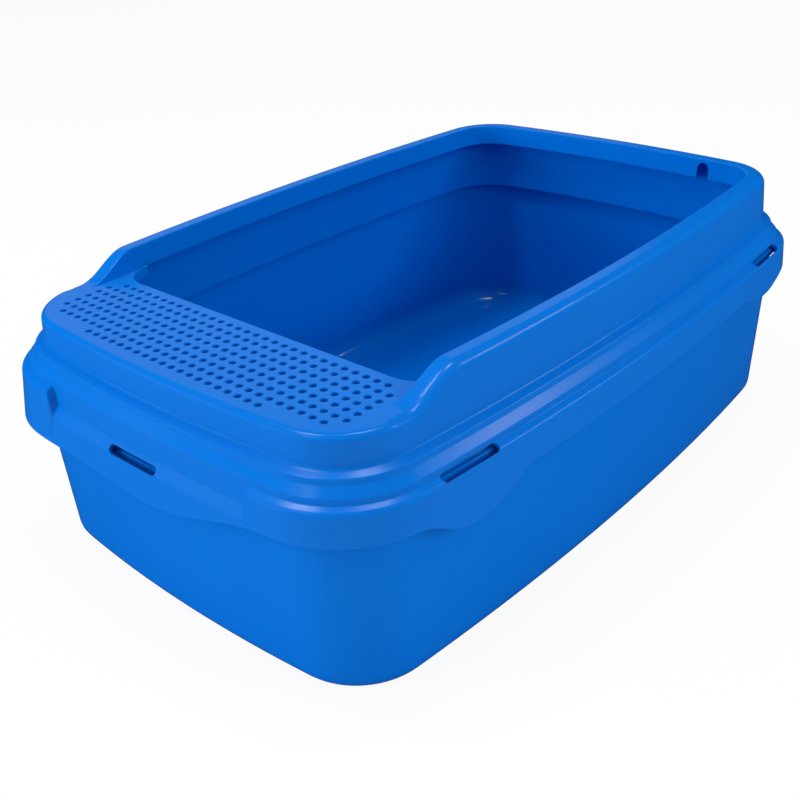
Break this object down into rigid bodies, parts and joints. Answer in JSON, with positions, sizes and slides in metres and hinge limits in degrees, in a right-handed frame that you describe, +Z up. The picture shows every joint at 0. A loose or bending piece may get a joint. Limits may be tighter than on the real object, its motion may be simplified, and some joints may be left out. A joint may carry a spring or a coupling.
{
  "type": "top entry litter box",
  "caption": "Open cat litter box: deep tapered pan with a lift-off raised rim, low perforated entry step at one end, stepped ledges and long latch slots.",
  "frame": {"origin": "on the floor under the middle of the box", "axes": "+Z up, +Y towards the high back end, the low entry step is at the -Y end, +X to the right seen from the step"},
  "size_m": [0.3806, 0.5799, 0.194],
  "materials": {
    "plastic": "satin moulded polypropylene"
  },
  "bodies": {
    "pan": {"pan": "plastic"},
    "rim": {"rim": "plastic"}
  },
  "joints": [
    {"name": "rim_lift", "type": "slide", "parent": "pan", "child": "rim", "axis": [0, 0, 1], "range_m": [0, 0.12]}
  ]
}
